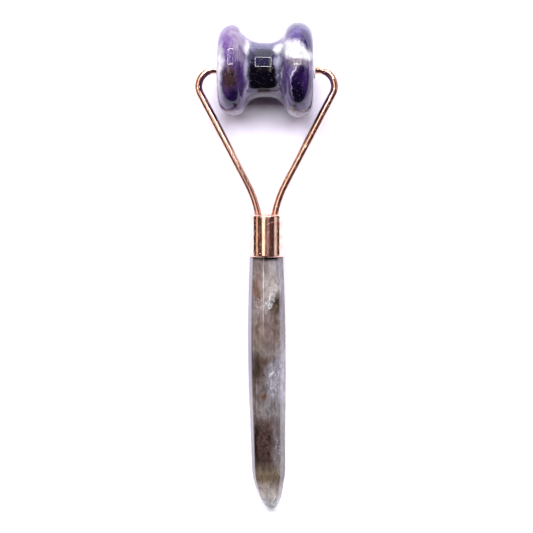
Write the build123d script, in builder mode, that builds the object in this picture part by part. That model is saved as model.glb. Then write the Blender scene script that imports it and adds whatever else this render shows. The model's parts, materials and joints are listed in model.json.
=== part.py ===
from build123d import *
import os
from math import asin, atan2, cos, degrees, hypot, radians, sin, tan

# Face roller: a waisted stone spool that turns on the in-turned ends of a bent wire fork. The fork's
# two legs are closed into a short metal ferrule, and an eight-sided stone handle is cemented into the
# ferrule's mouth. Millimetres and degrees. The tool lies on a table, the plane z = 0, with +Y from the
# handle's tip to the roller. A station is a distance from the roller's spin axis along the tool.

# ---- Roller stone: two round lobes of unequal size with a waist between them ----
left_rim_radius = 13.9
right_rim_radius = 14.6
waist_radius = 8.4
left_half_length = 14.7        # from the tool's axis to the left end face
right_half_length = 14.4       # from the tool's axis to the right end face
left_lobe_width = 5.7          # the un-rounded crest, from the end face inwards
right_lobe_width = 7.5
left_flank_angle = 60.0        # slope of the flank between crest and waist, from the spin axis
right_flank_angle = 64.0
left_end_round = 3.6           # round between end face and crest
right_end_round = 4.8
left_crest_round = 3.2         # round between crest and flank
right_crest_round = 3.8
waist_round = 6.0              # hollow round between flank and waist

# ---- Fork wire: one round rod from pin to pin ----
wire_radius = 1.25
pin_depth = 7.0                # length of each pin inside the roller, from its end face
end_play = 0.65                # from a bush's flange to the start of the wire's bend
shoulder_bend_radius = 5.0     # centreline, where a pin turns into an arm
knee_bend_radius = 34.0        # centreline, where an arm turns into a leg
knee_height = 4.9              # from the ferrule's top up to the corner of that gentle bend
leg_angle = 11.0               # of each leg at the ferrule, from the tool's axis
leg_offset = 2.65              # of each leg's centreline from the tool's axis at the ferrule's top
hairpin_depth = 1.9            # from the ferrule's top down to the centre of the hidden bend
pin_tip_chamfer = 0.3

# ---- Bushes in the ends of the stone's bore ----
running_clearance = 0.05       # radial, between pin and bush
bush_wall = 0.8
bush_length = 8.5              # inside the stone
flange_radius = 2.6
flange_thickness = 0.45
glue_film = 0.1                # radial, between bush and stone

# ---- Ferrule ----
ferrule_top = 43.8             # station of its closed end
ferrule_length = 13.1
ferrule_radius = 5.6
ferrule_wall = 0.6
ferrule_top_bevel = 0.5
ferrule_mouth_round = 0.2
cap_thickness = 1.0

# ---- Handle stone ----
handle_length = 78.4           # from the ferrule's mouth to the tip
point_length = 8.0             # the short pyramid at the end
mouth_lip = 0.17               # how far the section's corners stand outside the ferrule's bore
belly_radius = 5.89            # of the eight-sided section, at its corners
shoulder_radius = 4.45         # where the point begins
tip_radius = 1.2               # where the tip's blunt end begins
tip_height = 0.8
tip_flat_radius = 0.6
belly_share = 0.4              # how far down the handle its thickest section is
taper_power = 2.2
edge_round = 1.2               # of the eight long edges
corner_twist = 5.0             # of the sections about the tool's axis
body_sections = 7
touch_steps = 100              # sections tried when the resting tilt is worked out
shoulder_drift = 0.75          # sideways bow of the hand-ground stone where the point begins
tip_drift = 1.6                # and at its tip
tenon_glue = 0.6               # epoxy round the tenon
tenon_gap = 1.0                # epoxy between the fork's hidden bend and the tenon

# ---- What follows from them ----
bush_bore_radius = wire_radius + running_clearance
bush_radius = bush_bore_radius + bush_wall
bore_radius = bush_radius + glue_film
ferrule_bore_radius = ferrule_radius - ferrule_wall
ferrule_mouth = ferrule_top + ferrule_length
mouth_radius = ferrule_bore_radius + mouth_lip
tenon_radius = ferrule_bore_radius - tenon_glue
tip_station = ferrule_mouth + handle_length
body_length = handle_length - point_length


def handle_radius(share):
    """Corner radius of the handle's section, at a share of the way from the mouth to the point."""
    if share < belly_share:
        above = (belly_share - share) / belly_share
        return belly_radius - (belly_radius - mouth_radius) * above**2
    below = (share - belly_share) / (1 - belly_share)
    return belly_radius - (belly_radius - shoulder_radius) * below**taper_power


# The spool rests on both rims. The right rim's inner round and the left rim's outer round touch the
# table, which sets the slope of the spin axis and its height over the table at the tool's axis.
left_touch_x = left_half_length - left_end_round
right_touch_x = (
    right_half_length - right_lobe_width
    + right_crest_round * tan(radians(right_flank_angle / 2))
)
left_touch_depth = left_rim_radius - left_end_round
right_touch_depth = right_rim_radius - right_crest_round
touch_span = left_touch_x + right_touch_x
depth_step = right_touch_depth - left_touch_depth
axle_slope = (
    asin((right_crest_round - left_end_round) / hypot(touch_span, depth_step))
    + atan2(depth_step, touch_span)
)
axle_height = right_touch_depth * cos(axle_slope) + right_crest_round - right_touch_x * sin(axle_slope)

# The handle's underside touches the table too, with the rounded edge that points nearly down. The
# flattest tilt at which any section touches is the tilt of the resting tool.
edge_lean = radians(corner_twist) + axle_slope
edge_centre_inset = edge_round / cos(radians(180 / 8))
touch_shares = [step / touch_steps for step in range(touch_steps + 1)]
section_reach = [
    (
        ferrule_mouth + share * body_length,
        (handle_radius(share) - edge_centre_inset) * cos(edge_lean) + edge_round,
    )
    for share in touch_shares
]
rest_tilt = min(
    asin(axle_height / hypot(station, depth)) - atan2(depth, station)
    for station, depth in section_reach
)
rest_roll = asin(sin(axle_slope) / cos(rest_tilt))
axle_y = (tip_station * cos(rest_tilt) - right_rim_radius) / 2

# The tool's plane lies across the tool at the spin axis: its x is the spin axis, its y is up, and its
# normal points along the tool, down to the handle's tip.
tool = Plane(
    origin=(0, axle_y, axle_height),
    x_dir=(cos(rest_roll), -sin(rest_roll) * sin(rest_tilt), sin(rest_roll) * cos(rest_tilt)),
    z_dir=(0, -cos(rest_tilt), -sin(rest_tilt)),
)
fork_plane = Plane(origin=tool.origin, x_dir=tool.x_dir, z_dir=-tool.y_dir)
spin_axis = Axis(tool.origin, tool.x_dir)
axle_plane = Plane(origin=tool.origin, x_dir=tool.z_dir, z_dir=tool.x_dir)

os.makedirs("parts", exist_ok=True)

# ---- Roller stone, turned about the spin axis and bored through ----
left_crest_x = left_lobe_width - left_half_length
right_crest_x = right_half_length - right_lobe_width
left_foot_x = left_crest_x + (left_rim_radius - waist_radius) / tan(radians(left_flank_angle))
right_foot_x = right_crest_x - (right_rim_radius - waist_radius) / tan(radians(right_flank_angle))
with BuildPart() as roller_stone:
    with BuildSketch(tool):
        with BuildLine():
            outline = FilletPolyline(
                (-left_half_length, bore_radius),
                (-left_half_length, left_rim_radius),
                (left_crest_x, left_rim_radius),
                (left_foot_x, waist_radius),
                (right_foot_x, waist_radius),
                (right_crest_x, right_rim_radius),
                (right_half_length, right_rim_radius),
                (right_half_length, bore_radius),
                radius=[
                    left_end_round,
                    left_crest_round,
                    waist_round,
                    waist_round,
                    right_crest_round,
                    right_end_round,
                ],
            )
            Line(outline @ 1, outline @ 0)
        make_face()
    revolve(axis=spin_axis)
roller_stone.part.label = "roller_stone"
export_step(roller_stone.part, "parts/roller_stone.step")

# ---- A flanged bush at each end of the bore, and the film of glue round it ----
for side, sign, end_face in (("left", -1, left_half_length), ("right", 1, right_half_length)):
    inner_end = axle_plane.offset(sign * (end_face - bush_length))
    seat = axle_plane.offset(sign * end_face)
    with BuildPart() as bush:
        with BuildSketch(inner_end):
            Circle(bush_radius)
        extrude(amount=sign * bush_length)
        with BuildSketch(seat):
            Circle(flange_radius)
        extrude(amount=sign * flange_thickness)
        with BuildSketch(inner_end):
            Circle(bush_bore_radius)
        extrude(amount=sign * (bush_length + flange_thickness), mode=Mode.SUBTRACT)
    bush.part.label = f"{side}_bush"
    export_step(bush.part, f"parts/{side}_bush.step")

    with BuildPart() as bush_glue:
        with BuildSketch(inner_end):
            Circle(bore_radius)
            Circle(bush_radius, mode=Mode.SUBTRACT)
        extrude(amount=sign * bush_length)
    bush_glue.part.label = f"{side}_bush_glue"
    export_step(bush_glue.part, f"parts/{side}_bush_glue.step")

# ---- Fork wire. Each arm is the line from the knee's corner that just touches the shoulder bend ----
left_bend_x = left_half_length + flange_thickness + end_play
right_bend_x = right_half_length + flange_thickness + end_play
shoulder_x = max(left_bend_x, right_bend_x)
knee_x = leg_offset + knee_height * tan(radians(leg_angle))
knee_station = ferrule_top - knee_height
knee_drop = knee_station - shoulder_bend_radius
arm_angle = (
    asin(shoulder_bend_radius / hypot(shoulder_x - knee_x, knee_drop))
    + atan2(shoulder_x - knee_x, knee_drop)
)
corner_x = knee_x + knee_station * tan(arm_angle)
hairpin_radius = (leg_offset - hairpin_depth * tan(radians(leg_angle))) * cos(radians(leg_angle))
hairpin_corner = ferrule_top + leg_offset / tan(radians(leg_angle))
hairpin_end = ferrule_top + hairpin_depth + hairpin_radius + wire_radius
with BuildPart() as fork_wire:
    with BuildLine(fork_plane) as fork_path:
        FilletPolyline(
            (pin_depth - left_half_length, 0),
            (-corner_x, 0),
            (-knee_x, knee_station),
            (0, hairpin_corner),
            (knee_x, knee_station),
            (corner_x, 0),
            (right_half_length - pin_depth, 0),
            radius=[
                shoulder_bend_radius,
                knee_bend_radius,
                hairpin_radius,
                knee_bend_radius,
                shoulder_bend_radius,
            ],
        )
    with BuildSketch(Plane(origin=fork_path.line @ 0, z_dir=fork_path.line % 0)):
        Circle(wire_radius)
    sweep(path=fork_path.line)
    pin_tips = fork_wire.faces().filter_by(GeomType.PLANE)
    chamfer(pin_tips.edges(), length=pin_tip_chamfer)
fork_wire.part.label = "fork_wire"
export_step(fork_wire.part, "parts/fork_wire.step")

# ---- Ferrule: an open tube, and the plate in its top that the fork's legs pass through ----
with BuildPart() as ferrule_shell:
    with BuildSketch(tool.offset(ferrule_top)):
        Circle(ferrule_radius)
    extrude(amount=ferrule_length)
    ends = ferrule_shell.faces().filter_by(GeomType.PLANE).sort_by(Axis(tool.origin, tool.z_dir))
    chamfer(ends[0].edges(), length=ferrule_top_bevel)
    fillet(ends[-1].edges(), radius=ferrule_mouth_round)
    with BuildSketch(tool.offset(ferrule_top)):
        Circle(ferrule_bore_radius)
    extrude(amount=ferrule_length, mode=Mode.SUBTRACT)
ferrule_shell.part.label = "ferrule_shell"
export_step(ferrule_shell.part, "parts/ferrule_shell.step")

with BuildPart() as ferrule_cap:
    with BuildSketch(tool.offset(ferrule_top)):
        Circle(ferrule_bore_radius)
    extrude(amount=cap_thickness)
    add(fork_wire.part, mode=Mode.SUBTRACT)
ferrule_cap.part.label = "ferrule_cap"
export_step(ferrule_cap.part, "parts/ferrule_cap.step")

# ---- Handle stone: a bowed eight-sided body, a blunt point, and a round tenon for the ferrule ----
tenon_station = hairpin_end + tenon_gap
body_shares = [step / (body_sections - 1) for step in range(body_sections)]
with BuildPart() as handle_stone:
    for share in body_shares:
        with BuildSketch(tool.offset(ferrule_mouth + share * body_length)):
            with Locations((shoulder_drift * share**2, 0)):
                RegularPolygon(handle_radius(share), side_count=8, rotation=corner_twist)
            fillet(vertices(), radius=edge_round)
    loft()
    for station, radius, drift in (
        (body_length, shoulder_radius, shoulder_drift),
        (handle_length - tip_height, tip_radius, tip_drift),
        (handle_length, tip_flat_radius, tip_drift),
    ):
        with BuildSketch(tool.offset(ferrule_mouth + station)):
            with Locations((drift, 0)):
                RegularPolygon(radius, side_count=8, rotation=corner_twist)
            fillet(vertices(), radius=edge_round * radius / shoulder_radius)
    loft(ruled=True)
    with BuildSketch(tool.offset(tenon_station)):
        Circle(tenon_radius)
    extrude(amount=ferrule_mouth - tenon_station)
handle_stone.part.label = "handle_stone"
export_step(handle_stone.part, "parts/handle_stone.step")

# ---- Epoxy that fills the ferrule round the fork's hidden bend and the handle's tenon ----
with BuildPart() as ferrule_potting:
    with BuildSketch(tool.offset(ferrule_top + cap_thickness)):
        Circle(ferrule_bore_radius)
    extrude(amount=ferrule_length - cap_thickness)
    add(fork_wire.part, mode=Mode.SUBTRACT)
    add(handle_stone.part, mode=Mode.SUBTRACT)
ferrule_potting.part.label = "ferrule_potting"
export_step(ferrule_potting.part, "parts/ferrule_potting.step")

print(f"tilt {degrees(rest_tilt):.3f} roll {degrees(rest_roll):.3f} axle y {axle_y:.3f} z {axle_height:.3f}")
print(f"spin axis {tuple(round(v, 6) for v in tool.x_dir)}, tool axis {tuple(round(v, 6) for v in tool.z_dir)}")
print(f"arm angle {degrees(arm_angle):.2f}, fork corner x {corner_x:.2f}, knee x {knee_x:.2f}")
print(f"hairpin radius {hairpin_radius:.2f}, tenon from {tenon_station:.2f} to {ferrule_mouth:.2f}")
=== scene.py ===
"""A face roller on a pale table: a banded amethyst spool that turns in a rose gold plated wire fork,
with a ferrule and a long pointed handle of smoky quartz.

Metres throughout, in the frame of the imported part: +Z up from the table, +Y from the handle's tip to
the roller. Shapes are worked out in the tool's own axes, in millimetres, and then placed.
"""

import json
import logging
import math
from dataclasses import dataclass
from enum import Enum
from typing import Any, Sequence

import bpy
import numpy as np
from mathutils import Matrix

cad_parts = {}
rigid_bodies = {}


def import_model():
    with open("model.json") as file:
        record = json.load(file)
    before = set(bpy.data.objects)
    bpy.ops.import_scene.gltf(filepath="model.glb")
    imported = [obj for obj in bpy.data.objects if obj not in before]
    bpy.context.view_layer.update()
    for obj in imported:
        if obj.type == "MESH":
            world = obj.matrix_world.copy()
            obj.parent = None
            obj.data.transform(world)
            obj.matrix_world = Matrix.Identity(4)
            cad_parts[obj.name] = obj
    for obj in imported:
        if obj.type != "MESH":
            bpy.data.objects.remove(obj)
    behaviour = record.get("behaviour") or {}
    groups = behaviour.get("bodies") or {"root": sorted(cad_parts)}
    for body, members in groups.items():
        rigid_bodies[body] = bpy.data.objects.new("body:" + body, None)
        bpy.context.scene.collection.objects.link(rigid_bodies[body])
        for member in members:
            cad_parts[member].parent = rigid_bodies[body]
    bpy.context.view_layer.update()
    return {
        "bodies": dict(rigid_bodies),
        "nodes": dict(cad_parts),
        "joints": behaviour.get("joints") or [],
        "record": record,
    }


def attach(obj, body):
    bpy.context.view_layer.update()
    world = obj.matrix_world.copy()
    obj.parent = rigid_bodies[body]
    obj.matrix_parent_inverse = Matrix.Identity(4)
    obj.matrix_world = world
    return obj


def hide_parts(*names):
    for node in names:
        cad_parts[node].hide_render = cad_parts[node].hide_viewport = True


logging.basicConfig(level=logging.INFO, format="%(name)s: %(message)s")
log = logging.getLogger("face_roller")

MM = 0.001
SAME_PLACE = 1e-6          # points of a profile nearer than this, in millimetres, are one
FEWEST_BENDS = 3           # straight pieces in the shortest arc
WHITE = (1.0, 1.0, 1.0, 1.0)
HAIR = 1e-6                # what keeps a share above nothing where it is raised to a power
TIP_CLOSED = 1e-4          # the square of the handle's last row's share of the tip's radius
SMOOTH = "SMOOTHSTEP"      # how a mask or a shade passes from one end of its range to the other
UNDER, OVER = 6, 7         # the numbers of a colour mix's two colour sockets
MIXED = 2                  # and of its result

Point = tuple[float, float, float]
Socket = bpy.types.NodeSocket
Source = Socket | float | Sequence[float]
Stops = Sequence[tuple[float, str]]


# ---------------------------------------------------------------------------------------------------
# The tool's own axes
# ---------------------------------------------------------------------------------------------------


@dataclass(frozen=True)
class ToolFrame:
    """The tool's axes as it lies on its rims and its handle, with the spin axis's middle as origin.

    A place in the tool is (across, up, along) in millimetres: across runs along the spin axis to the
    right, up leaves the fork's plane upwards, and along runs down the tool to the handle's tip.
    """

    origin: np.ndarray
    across: np.ndarray
    up: np.ndarray
    along: np.ndarray

    @classmethod
    def from_part(cls, frame: dict[str, Any]) -> "ToolFrame":
        """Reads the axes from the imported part's joint and its collar mount.


        Returns:
            The tool's axes, square to each other.
        """
        joint = frame["joints"][0]
        mount = frame["record"]["mounts"][0]
        across = np.array(joint["axis"], float)
        across /= np.linalg.norm(across)
        along = np.array(mount["axis"], float)
        along -= across * float(along @ across)
        along /= np.linalg.norm(along)
        return cls(np.array(joint["pos_m"], float), across, np.cross(along, across), along)

    def place(self, points: np.ndarray) -> np.ndarray:
        """World points, in metres, of an array of (across, up, along) points in millimetres."""
        return self.origin + (points * MM) @ np.stack([self.across, self.up, self.along])

    def matrix(self) -> Matrix:
        """The turn from the tool's axes to the world's."""
        return Matrix(np.stack([self.across, self.up, self.along], axis=1).tolist())


# ---------------------------------------------------------------------------------------------------
# Surfaces
# ---------------------------------------------------------------------------------------------------


def straight_run(start: np.ndarray, end: np.ndarray, step: float) -> np.ndarray:
    """Evenly spaced points from just after start up to end, at most a step apart."""
    count = max(1, math.ceil(float(np.linalg.norm(end - start)) / step))
    return start + (end - start) * np.linspace(0, 1, count + 1)[1:, None]


def rounded_path(corners: Sequence[tuple[float, float]], radii: Sequence[float], step: float) -> np.ndarray:
    """A polyline with each inner corner replaced by the arc that touches both its sides.

    The arc's centre lies on the corner's bisector at radius / sin(half the inner angle), and each of
    its points is the centre plus the radius turned evenly from one touching point to the other.

    Args:
        corners: the polyline's points in order.
        radii: a radius for each inner corner, 0 for a sharp one.
        step: the greatest distance between neighbouring points.

    Returns:
        Points along the path, spaced evenly on each straight run and each arc.
    """
    pts = np.array(corners, float)
    rows = [pts[:1]]
    start = pts[0]
    for corner, before, after, radius in zip(pts[1:-1], pts[:-2], pts[2:], radii):
        into = (corner - before) / np.linalg.norm(corner - before)
        out = (after - corner) / np.linalg.norm(after - corner)
        turn = math.atan2(into[0] * out[1] - into[1] * out[0], float(into @ out))
        cut = radius * math.tan(abs(turn) / 2)
        foot = corner - into * cut
        rows.append(straight_run(start, foot, step))
        if radius > 0:
            side = np.array([-into[1], into[0]]) * math.copysign(radius, turn)
            centre = foot + side
            count = max(FEWEST_BENDS, math.ceil(abs(turn) * radius / step))
            bend = np.linspace(0, turn, count + 1)[1:, None]
            rows.append(centre - side * np.cos(bend) + into * radius * np.sin(np.abs(bend)))
        start = corner + out * cut
    rows.append(straight_run(start, pts[-1], step))
    path = np.concatenate(rows)
    apart = np.linalg.norm(np.diff(path, axis=0), axis=1) > SAME_PLACE
    return path[np.concatenate([[True], apart])]


def round_angles(turns: int) -> np.ndarray:
    """Evenly spaced angles round a full circle, from 0 and without its end."""
    return np.linspace(0, 2 * math.pi, turns, endpoint=False)


def lathe(profile: np.ndarray, turns: int) -> np.ndarray:
    """A grid of points from a closed (along the axis, radius) profile turned about its axis.

    Point (i, j) is (a_i, r_i cos t_j, r_i sin t_j) with t_j evenly spaced round the circle.

    Args:
        profile: the section's points, as rows of (along the axis, radius).
        turns: how many points go round the circle.

    Returns:
        An array of profile points x turns x 3.
    """
    angle = round_angles(turns)
    along = np.repeat(profile[:, :1], turns, axis=1)
    return np.stack([along, profile[:, 1:] * np.cos(angle), profile[:, 1:] * np.sin(angle)], axis=-1)


def tube(path: np.ndarray, radii: np.ndarray, normal: np.ndarray, turns: int) -> np.ndarray:
    """A grid of points on a round tube that follows a flat path.

    Point (i, j) is path_i + r_i (cos t_j side_i + sin t_j normal), where side_i is square to both the
    path's direction there and the plane's normal.

    Args:
        path: the centreline's points.
        radii: the tube's radius at each of them.
        normal: the direction square to the path's plane.
        turns: how many points go round the tube.

    Returns:
        An array of path points x turns x 3.
    """
    direction = np.gradient(path, axis=0)
    direction /= np.linalg.norm(direction, axis=1, keepdims=True)
    side = np.cross(normal, direction)
    angle = round_angles(turns)
    ring = np.cos(angle)[None, :, None] * side[:, None] + np.sin(angle)[None, :, None] * normal
    return path[:, None] + radii[:, None, None] * ring


def new_piece(name: str, mesh: bpy.types.Mesh) -> bpy.types.Object:
    """Puts a mesh into the scene.

    Args:
        name: the object's name.
        mesh: what it shows.

    Returns:
        The object, at the origin.
    """
    piece = bpy.data.objects.new(name, mesh)
    bpy.context.scene.collection.objects.link(piece)
    return piece


def grid_piece(name: str, grid: np.ndarray, closed_rows: bool, flip: bool) -> bpy.types.Object:
    """A smooth closed piece from a grid of world points whose columns close on themselves.

    Args:
        name: the piece's name, and its mesh's.
        grid: rows x columns x 3, in metres.
        closed_rows: whether the last row joins the first; if not, a fan closes each end.
        flip: whether to reverse the faces so that they point outwards.

    Returns:
        The piece, at the origin.
    """
    rows, cols = grid.shape[:2]
    points = grid.reshape(-1, 3)
    upper = np.arange(rows if closed_rows else rows - 1)
    i, j = np.meshgrid(upper, np.arange(cols), indexing="ij")
    below, beside = (i + 1) % rows, (j + 1) % cols
    quads = np.stack([i * cols + j, below * cols + j, below * cols + beside, i * cols + beside], axis=-1)
    faces = quads.reshape(-1, 4).tolist()
    if not closed_rows:
        ends = np.stack([grid[0].mean(axis=0), grid[-1].mean(axis=0)])
        first, last = len(points), len(points) + 1
        points = np.concatenate([points, ends])
        ring = np.arange(cols)
        after = (ring + 1) % cols
        foot = (rows - 1) * cols
        faces += np.stack([np.full(cols, first), ring, after], axis=-1).tolist()
        faces += np.stack([np.full(cols, last), foot + after, foot + ring], axis=-1).tolist()
    if flip:
        faces = [face[::-1] for face in faces]
    mesh = bpy.data.meshes.new(name)
    mesh.from_pydata(points.tolist(), [], faces)
    mesh.polygons.foreach_set("use_smooth", np.ones(len(mesh.polygons), bool))
    mesh.validate()
    mesh.update()
    return new_piece(name, mesh)


@dataclass(frozen=True)
class Unevenness:
    """The slight waviness of a surface that was ground by hand.

    It is the mean of a few waves sin(k angle + along / length * m + phase), with whole numbers k so
    that each meets itself round the piece, and with m and the phase drawn from a seeded generator.
    """

    seed: int
    length: float
    counts: tuple[int, ...] = (1, 2, 2, 3, 3, 4)
    slant: float = 2.0
    phases: float = 6.28

    def at(self, angle: np.ndarray, along: np.ndarray) -> np.ndarray:
        """The waviness over a grid.

        Args:
            angle: the angles round the piece.
            along: the places along it, in millimetres.

        Returns:
            The waviness between -1 and 1 at each.
        """
        draw = np.random.default_rng(self.seed)
        total = np.zeros(np.broadcast(angle, along).shape)
        for turns in self.counts:
            slope = draw.uniform(-self.slant, self.slant)
            total = total + np.sin(turns * angle + along / self.length * slope + draw.uniform(0, self.phases))
        return total / len(self.counts)


# ---------------------------------------------------------------------------------------------------
# Colours and shader nodes
# ---------------------------------------------------------------------------------------------------


def linear(colour: str) -> tuple[float, float, float, float]:
    """Turns an sRGB hex colour to linear.

    Args:
        colour: six hex digits after a #, such as "#B76E79".

    Returns:
        Its linear red, green and blue, with an alpha of 1.
    """
    parts = [int(colour[k : k + 2], 16) / 255 for k in (1, 3, 5)]
    r, g, b = (c / 12.92 if c <= 0.04045 else ((c + 0.055) / 1.055) ** 2.4 for c in parts)
    return (r, g, b, 1.0)


def add(tree: bpy.types.NodeTree, kind: str, inputs: Sequence[Source] | dict[str | int, Source] = (),
        stops: Stops = (), **settings: Any) -> bpy.types.Node:
    """Adds a node, sets its properties, feeds its sockets and sets its colour ramp's stops.

    Args:
        tree: the node tree that takes the node.
        kind: the node's type name without its ShaderNode prefix.
        inputs: what feeds the sockets, either in their order or by their names or numbers. Each is a
            value or the output socket of another node.
        stops: for a colour ramp, places from 0 to 1 with their hex colours.
        settings: node properties, such as operation="ADD".

    Returns:
        The new node.
    """
    node = tree.nodes.new("ShaderNode" + kind)
    for key, value in settings.items():
        setattr(node, key, value)
    feeds = inputs if isinstance(inputs, dict) else dict(enumerate(inputs))
    for socket, source in feeds.items():
        if isinstance(source, Socket):
            tree.links.new(source, node.inputs[socket])
        else:
            node.inputs[socket].default_value = source
    if stops:
        elements = node.color_ramp.elements
        while len(elements) < len(stops):
            elements.new(0.5)
        for element, (place, colour) in zip(elements, stops):
            element.position = place
            element.color = linear(colour)
    return node


@dataclass(frozen=True)
class Cloud:
    """A noise pattern in a material, with its sizes in millimetres.

    The grain is how wide its patches are, the detail how many finer layers it has, the shift where
    it starts, the stretch how many times longer it is along each of the tool's axes, and the crumble
    how strong its finest layers are.
    """

    grain: float
    detail: float = 4.0
    shift: Point = (0, 0, 0)
    stretch: Point = (1, 1, 1)
    crumble: float = 0.5


@dataclass(frozen=True)
class ColourZone:
    """A soft-edged patch of another colour inside a stone, shaped like a turned ellipsoid.

    The centre is (across, up, along) and the radii are half sizes in the same order, in millimetres.
    The turn is about the up direction, in degrees, and the edge is the share of the radii over which
    the patch fades. A grainy patch shows only where the stone's fine grit rises above a level, as a
    scatter of specks, and a crisp one keeps its outline unbent.
    """

    colour: str
    centre: Point
    radii: Point
    turn: float = 0.0
    edge: float = 0.5
    strength: float = 1.0
    grain: float = 0.0
    crisp: bool = False


class Surface:
    """A material under way: its node tree, with coordinates in the tool's axes in millimetres."""

    SHADE_SPAN = (0.3, 0.7)    # the part of a noise's range that a shade or a mask spreads over
    WORN_SPAN = (0.4, 0.75)    # the part that dulls a polish
    SPECK_EDGE = 0.08          # how much of a noise's range a speck's edge takes
    GRIT_EDGE = 0.13
    SPECK_DETAIL = 2.0
    WARP_DETAIL = 3.0

    def __init__(self, name: str, tool: ToolFrame) -> None:
        """Starts a material whose coordinates are the tool's own, in millimetres.

        Args:
            name: the material's name.
            tool: the tool's axes.
        """
        self.material = bpy.data.materials.new(name)
        self.material.use_nodes = True
        self.tree = self.material.node_tree
        self.tree.nodes.clear()
        coordinates = add(self.tree, "TexCoord").outputs["Object"]
        inputs = (coordinates, tuple(tool.origin), tool.matrix().to_euler(), (MM, MM, MM))
        self.place = add(self.tree, "Mapping", inputs, vector_type="TEXTURE").outputs[0]
        self.straight = self.place

    def noise(self, cloud: Cloud, straight: bool = False) -> bpy.types.Node:
        """Adds a cloud's noise.

        Args:
            cloud: the pattern.
            straight: whether it stays on the unbent coordinates.

        Returns:
            The noise node.
        """
        scale = tuple(1 / (cloud.grain * longer) for longer in cloud.stretch)
        place = self.straight if straight else self.place
        moved = add(self.tree, "Mapping", {0: place, 1: cloud.shift, 3: scale}).outputs[0]
        inputs = {"Vector": moved, "Scale": 1.0, "Detail": cloud.detail, "Roughness": cloud.crumble}
        return add(self.tree, "TexNoise", inputs)

    def warp(self, grain: float, reach: float) -> None:
        """Bends all later patterns: each point is moved by a cloud of noise.

        Args:
            grain: the cloud's grain in millimetres.
            reach: about the furthest that a point moves, in millimetres.
        """
        cloud = self.noise(Cloud(grain, self.WARP_DETAIL)).outputs["Color"]
        centred = add(self.tree, "VectorMath", (cloud, (0.5, 0.5, 0.5)), operation="SUBTRACT").outputs[0]
        inputs = {0: centred, "Scale": reach * 2}
        scaled = add(self.tree, "VectorMath", inputs, operation="SCALE").outputs[0]
        self.place = add(self.tree, "VectorMath", (self.place, scaled), operation="ADD").outputs[0]

    def zones(self, colour: Source, zones: Sequence[ColourZone], grit: Cloud) -> Socket:
        """Lays each zone over a colour in turn.

        A zone's distance is the length of (point - centre) turned and divided by the radii, and its
        mask is a smooth step from 1 inside to 0 outside. A grainy zone's mask is multiplied by a
        smooth step of the grit.

        Args:
            colour: the socket or value of the colour underneath.
            zones: the patches, lower layers first.
            grit: the pattern of the specks in grainy zones.

        Returns:
            The colour socket with all the patches.
        """
        tree = self.tree
        sand = self.noise(grit, straight=True).outputs[0]
        for zone in zones:
            turn = (0.0, math.radians(zone.turn), 0.0)
            place = self.straight if zone.crisp else self.place
            inside = add(tree, "Mapping", (place, zone.centre, turn, zone.radii), vector_type="TEXTURE")
            distance = add(tree, "VectorMath", (inside.outputs[0],), operation="LENGTH").outputs["Value"]
            inputs = (distance, 1 - zone.edge, 1 + zone.edge, zone.strength, 0.0)
            mask = add(tree, "MapRange", inputs, interpolation_type=SMOOTH).outputs[0]
            if zone.grain > 0:
                inputs = (sand, zone.grain, zone.grain + self.GRIT_EDGE)
                specks = add(tree, "MapRange", inputs, interpolation_type=SMOOTH).outputs[0]
                mask = add(tree, "Math", (mask, specks), operation="MULTIPLY").outputs[0]
            inputs = {0: mask, UNDER: colour, OVER: linear(zone.colour)}
            colour = add(tree, "Mix", inputs, data_type="RGBA").outputs[MIXED]
        return colour

    def specks(self, colour: Source, tint: str, grain: float, level: float, strength: float) -> Socket:
        """Lays small grains over a colour, where a fine noise rises above a level.

        Args:
            colour: the socket or value of the colour underneath.
            tint: the grains' hex colour.
            grain: the noise's grain in millimetres.
            level: the noise's value at which a grain begins.
            strength: how far the grains cover the colour, from 0 to 1.

        Returns:
            The colour socket with the grains.
        """
        span = (level, level + self.SPECK_EDGE)
        mask = self.spread(Cloud(grain, self.SPECK_DETAIL), span, 0.0, strength)
        inputs = {0: mask, UNDER: colour, OVER: linear(tint)}
        return add(self.tree, "Mix", inputs, data_type="RGBA").outputs[MIXED]

    def shade(self, colour: Source, cloud: Cloud, dark: float, light: float) -> Socket:
        """Multiplies a colour by a cloud that runs from dark to light.

        Args:
            colour: the socket or value of the colour.
            cloud: the pattern of the shade.
            dark: what its low parts multiply the colour by.
            light: what its high parts multiply it by.

        Returns:
            The shaded colour's socket.
        """
        inputs = {0: 1.0, UNDER: colour, OVER: self.spread(cloud, self.SHADE_SPAN, dark, light)}
        return add(self.tree, "Mix", inputs, data_type="RGBA", blend_type="MULTIPLY").outputs[MIXED]

    def spread(self, cloud: Cloud, span: tuple[float, float], start: float, end: float) -> Socket:
        """A value that a cloud spreads over the surface.

        Args:
            cloud: the pattern.
            span: the part of the cloud's range, from 0 to 1, over which the value changes.
            start: the value below that part.
            end: the value above it.

        Returns:
            The value's socket.
        """
        inputs = (self.noise(cloud).outputs[0], *span, start, end)
        return add(self.tree, "MapRange", inputs, interpolation_type=SMOOTH).outputs[0]

    def finish(self, colour: Source, roughness: Source, sockets: dict[str, Source]) -> bpy.types.Material:
        """Ends the tree in a Principled shader.

        Args:
            colour: the base colour's socket or value.
            roughness: the roughness's socket or value.
            sockets: the shader's other sockets by name.

        Returns:
            The finished material.
        """
        inputs = {"Base Color": colour, "Roughness": roughness, **sockets}
        shader = add(self.tree, "BsdfPrincipled", inputs)
        add(self.tree, "OutputMaterial", (shader.outputs[0],))
        return self.material


# ---------------------------------------------------------------------------------------------------
# Finishes
# ---------------------------------------------------------------------------------------------------


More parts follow.
